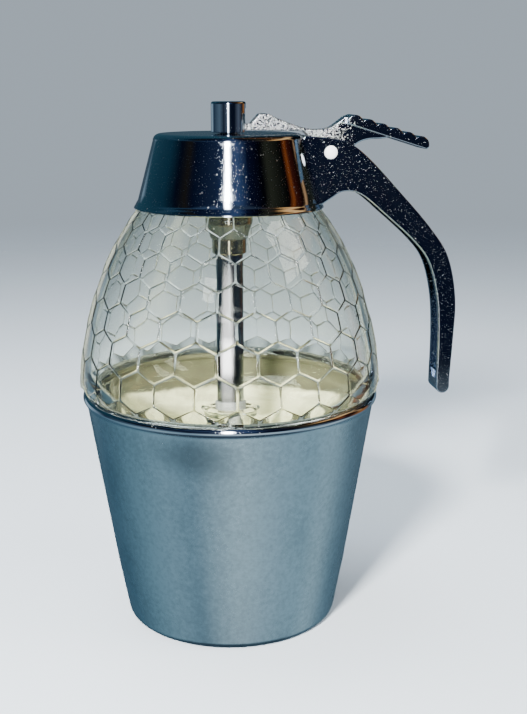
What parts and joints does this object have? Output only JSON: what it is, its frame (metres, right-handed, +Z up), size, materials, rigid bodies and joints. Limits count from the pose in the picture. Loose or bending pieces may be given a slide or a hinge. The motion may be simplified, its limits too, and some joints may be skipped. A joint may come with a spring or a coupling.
{
  "type": "syrup dispenser",
  "caption": "Table syrup dispenser: honeycomb glass jar standing in a tapered metal cup, chrome lid with curved handle, thumb lever and lifting rod that opens the outlet in the jar's floor.",
  "frame": {"origin": "centre of the cup's underside, on the surface that it stands on", "axes": "+Z up along the axis that the cup, jar and lid turn about, +X towards the handle, +Y across the handle"},
  "size_m": [0.1279, 0.1014, 0.1755],
  "materials": {
    "satin_metal": "satin, slightly cloudy",
    "clear_glass": "clear pressed glass",
    "polished_chrome": "polished, pitted and speckled with age",
    "grey_stopper": "dull grey"
  },
  "bodies": {
    "dispenser": {"holder_cup": "satin_metal", "jar": "clear_glass", "lid": "polished_chrome", "spring_housing": "polished_chrome", "guide_collar": "polished_chrome", "rivet": "polished_chrome"},
    "lever": {"lever": "polished_chrome"},
    "plunger": {"plunger": "polished_chrome", "stopper": "grey_stopper"}
  },
  "joints": [
    {"name": "lever_pivot", "type": "hinge", "parent": "dispenser", "child": "lever", "pos_m": [0.0329, 0, 0.1593], "axis": [0, 1, 0], "range_deg": [0, 8], "stiffness_Nm_per_rad": 0.3, "springref_deg": -20.05},
    {"name": "plunger_lift", "type": "slide", "parent": "dispenser", "child": "plunger", "axis": [0, 0, 1], "range_m": [0, 0.0042]}
  ],
  "couplings": [
    {"joint": "plunger_lift", "follows": "lever_pivot", "m_per_rad": 0.0297}
  ]
}
